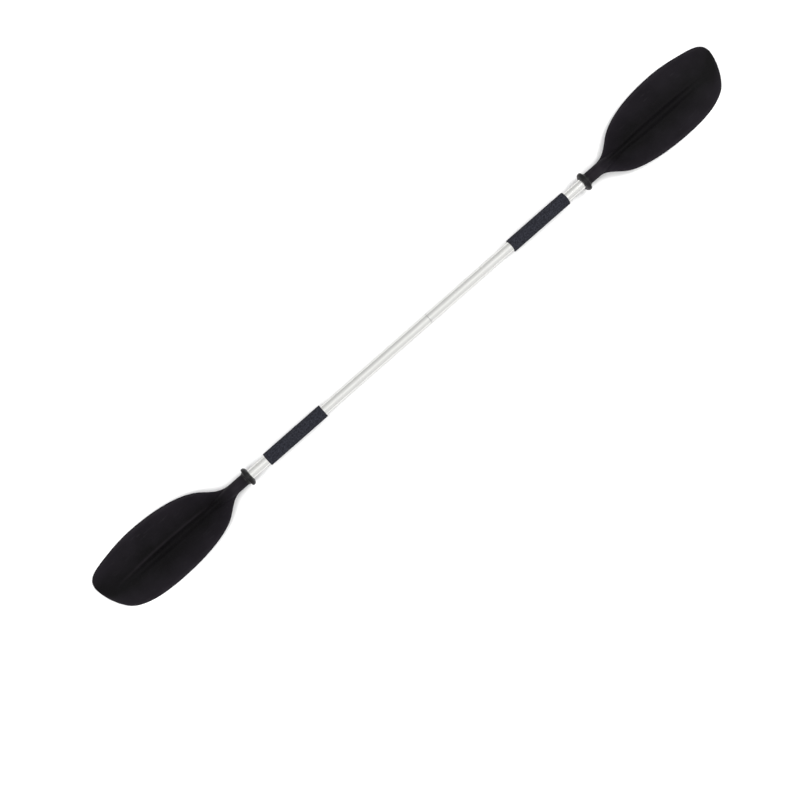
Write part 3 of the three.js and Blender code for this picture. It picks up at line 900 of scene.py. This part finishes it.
def grip(name, mirrored):
    """A foam grip, its surface a little uneven between its rounded ends."""
    bore = SHAFT_RADIUS + GAP
    corners = [(GRIP_FROM, bore), (GRIP_FROM, GRIP_RADIUS), (GRIP_TO, GRIP_RADIUS), (GRIP_TO, bore)]
    outline = rounded(corners, GRIP_ROUNDING, steps=8)
    start = GRIP_FROM + GRIP_ROUNDING
    end = GRIP_TO - GRIP_ROUNDING
    cut = next(i for i, point in enumerate(outline) if point[1] > GRIP_RADIUS - 1e-6)
    steps = 120
    fill = [(mix(start, end, i / steps), GRIP_RADIUS) for i in range(1, steps)]
    profile = [*outline[:cut + 1], *fill, *outline[cut + 1:]]
    points, faces = loft(turned_rings(profile, AROUND), closed=True)
    radius = np.hypot(points[:, 1], points[:, 2])
    angle = np.arctan2(points[:, 2], points[:, 1])
    skin = ease(radius, bore + 1, GRIP_RADIUS)
    waves = [np.sin(points[:, 0] / length + turns * angle) for length, turns in GRIP_WAVES]
    grown = 1 + skin * np.mean(waves, axis=0) * GRIP_UNEVENNESS / GRIP_RADIUS
    points[:, 1] *= grown
    points[:, 2] *= grown
    return to_object(name, points, outward(points, faces), mirrored)


def bezier(corners, steps=CURVE_STEPS):
    share = np.linspace(0, 1, steps + 1)[:, None]
    a, b, c, d = (np.array(corner, float) for corner in corners)
    return (a * (1 - share) ** 3 + 3 * b * share * (1 - share) ** 2
            + 3 * c * share**2 * (1 - share) + d * share**3)


def drip_ring(name, mirrored):
    """A drip ring, which swells from the tube to a lip, falls back behind it in a hollow curve and
    ends in a skirt over the neck's mouth."""
    bore = SHAFT_RADIUS + GAP
    front = bore + RING_WALL
    crest = RING_FROM + RING_CREST
    lip_to = crest + RING_LIP
    lip_radius = RING_RADIUS - RING_LIP_DROP
    ring_to = RING_FROM + RING_LENGTH
    skirt_bore = NECK_RADIUS + GAP
    skirt = skirt_bore + RING_WALL
    step_at = NECK_FROM - GAP
    swell = bezier([(RING_FROM, front), (mix(RING_FROM, crest, 0.05), mix(front, RING_RADIUS, 0.5)),
                    (mix(RING_FROM, crest, 0.4), RING_RADIUS), (crest, RING_RADIUS)])
    lip = bezier([(crest, RING_RADIUS), (mix(crest, lip_to, 0.6), RING_RADIUS),
                  (lip_to, mix(lip_radius, RING_RADIUS, 0.6)), (lip_to, lip_radius)], CURVE_STEPS // 2)
    back = bezier([(lip_to, lip_radius), (lip_to, mix(lip_radius, skirt, 0.6)),
                   (mix(lip_to, ring_to, 0.3), mix(lip_radius, skirt, 0.85)), (ring_to, skirt)])
    corners = [back[-2], (ring_to, skirt), (ring_to, skirt_bore), (step_at, skirt_bore),
               (step_at, bore), (RING_FROM, bore), (RING_FROM, front)]
    inside = rounded(corners, RING_ROUNDING, closed=False)
    profile = [*swell, *lip[1:], *back[1:-2], *inside[:-1]]
    return turned(name, profile, mirrored)


def side_pieces(side, mirrored, highlight_strength):
    settle(blade(f"{side}_blade", mirrored, highlight_strength), f"blade_{side}", "blade_plastic")
    settle(drip_ring(f"{side}_drip_ring", mirrored), f"drip_ring_{side}", "black_rubber")
    made = settle(grip(f"{side}_grip", mirrored), f"grip_{side}", "grip_foam")
    plug = float_plug(f"{side}_float_plug", FLOAT_PLUG_FROM, mirrored)
    settle(plug, f"float_plug_{side}", "plug_foam")
    for i, turn in enumerate(BLADE_RIVET_TURNS):
        name = f"{side}_blade_rivet_{i + 1}"
        made = rivet(name, TUBE_BORE, NECK_RADIUS, BLADE_RIVET_AT, turn, mirrored)
        settle(made, f"blade_rivet_{side}_{i + 1}", "rivet_aluminium")


def inner_plug():
    made = float_plug("inner_float_plug", FERRULE_TO + INNER_PLUG_PAST_FERRULE)
    settle(made, "float_plug_inner", "plug_foam")


shaft_tubes()
seam_ring()
sleeve()
ferrule_rivets()
button()
spring()
inner_plug()
for side, mirrored, highlight_strength in SIDES:
    side_pieces(side, mirrored, highlight_strength)

# ---------- floor, light and camera ----------

LEAN_ALONG = -1.885  # degrees the camera leans along the shaft
LEAN_ACROSS = 1.255  # and across it
TURN = -41.345  # the shaft's angle in the picture
CAMERA_PLACE = Vector((-0.2935, AXIS_Y - 0.0955, AXIS_Z + 3.3617))
CAMERA_LENS = 56.8
FLOOR_HALF = 30  # metres

SKY_BRIGHT = 0.98
SKY_DIM = 0.72
SKY_BRIGHT_SIDE = (0, -0.4, 0.92)
HORIZON_SHARE = 0.8  # the horizon's strength, as a share of the sky's

KEY_PLACE = (0, -0.7, 4.6)
KEY_SIZE = (4.6, 2.6)
KEY_POWER = 8
END_LIGHT_ALONG = 4.4
END_LIGHT_UP = 4.2
END_LIGHT_SIZE = (2.6, 2.6)
END_LIGHT_POWER = 165


def floor():
    n = Nodes("floor_paint")
    clouds = n.noise(1.3, detail=3)
    base = n.blend(clouds, rgb(0.90, 0.90, 0.90), rgb(0.92, 0.92, 0.92))
    normal = n.bump(n.noise(300, detail=2), 0.0001, 0.2)
    material = n.finish(base, n.ramp(clouds, 0.3, 0.7, 0.7, 0.8), normal, Specular_IOR_Level=0.2)
    low = min(CAD_BOX[0].z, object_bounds()[0].z)
    mesh = bpy.data.meshes.new("floor")
    ends = (-FLOOR_HALF, FLOOR_HALF)
    corners = [(ends[0], ends[0], low), (ends[1], ends[0], low),
               (ends[1], ends[1], low), (ends[0], ends[1], low)]
    mesh.from_pydata(corners, [], [(0, 1, 2, 3)])
    mesh.materials.append(material)
    made = bpy.data.objects.new("floor", mesh)
    bpy.context.scene.collection.objects.link(made)
    made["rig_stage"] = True


def camera_turn():
    """The camera's turn: it looks straight down, leans a little and is then turned."""
    across = Matrix.Rotation(math.radians(LEAN_ACROSS), 3, "X")
    along = Matrix.Rotation(math.radians(LEAN_ALONG), 3, "Y")
    return Matrix.Rotation(math.radians(TURN), 3, "Z") @ along @ across


def camera():
    data = bpy.data.cameras.new("camera")
    data.lens = CAMERA_LENS
    data.sensor_width = 36
    data.clip_end = 100
    made = bpy.data.objects.new("camera", data)
    made.matrix_world = Matrix.Translation(CAMERA_PLACE) @ camera_turn().to_4x4()
    bpy.context.scene.collection.objects.link(made)
    bpy.context.scene.camera = made


def softbox(name, place, size, power):
    """A soft rectangular light that faces the paddle's middle."""
    data = bpy.data.lights.new(name, "AREA")
    data.shape = "RECTANGLE"
    data.size, data.size_y = size
    data.energy = power
    made = bpy.data.objects.new(name, data)
    made.location = place
    made.rotation_mode = "QUATERNION"
    made.rotation_quaternion = (-Vector(place)).to_track_quat("-Z", "Y")
    bpy.context.scene.collection.objects.link(made)


def sky():
    """White light from above and from the -Y side, weaker from the other side and near the
    horizon."""
    world = bpy.data.worlds.new("studio")
    world.use_nodes = True
    tree = world.node_tree
    direction = tree.nodes.new("ShaderNodeTexCoord").outputs["Generated"]

    def ramp_along(line, low, high, to_low, to_high):
        """A ramp of how far the direction points along a line."""
        along = tree.nodes.new("ShaderNodeVectorMath")
        along.operation = "DOT_PRODUCT"
        along.inputs[1].default_value = line
        tree.links.new(direction, along.inputs[0])
        ramp = tree.nodes.new("ShaderNodeMapRange")
        tree.links.new(along.outputs["Value"], ramp.inputs["Value"])
        for key, number in (("From Min", low), ("From Max", high),
                            ("To Min", to_low), ("To Max", to_high)):
            ramp.inputs[key].default_value = number
        return ramp.outputs["Result"]

    strength = tree.nodes.new("ShaderNodeMath")
    strength.operation = "MULTIPLY"
    bright_side = ramp_along(SKY_BRIGHT_SIDE, 0.25, 0.70, SKY_DIM, SKY_BRIGHT)
    above_horizon = ramp_along((0, 0, 1), 0.0, 0.35, HORIZON_SHARE, 1.0)
    tree.links.new(bright_side, strength.inputs[0])
    tree.links.new(above_horizon, strength.inputs[1])
    background = tree.nodes["Background"]
    background.inputs["Color"].default_value = (1, 1, 1, 1)
    tree.links.new(strength.outputs[0], background.inputs["Strength"])
    bpy.context.scene.world = world


def light():
    """The sky, a softbox over the paddle and one past each of its ends."""
    sky()
    softbox("key", KEY_PLACE, KEY_SIZE, KEY_POWER)
    for side in (-1, 1):
        place = (side * END_LIGHT_ALONG, 0, END_LIGHT_UP)
        softbox("end", place, END_LIGHT_SIZE, END_LIGHT_POWER)


floor()
camera()
light()
scene = bpy.context.scene
scene.view_settings.view_transform = "Standard"
scene.view_settings.look = "None"
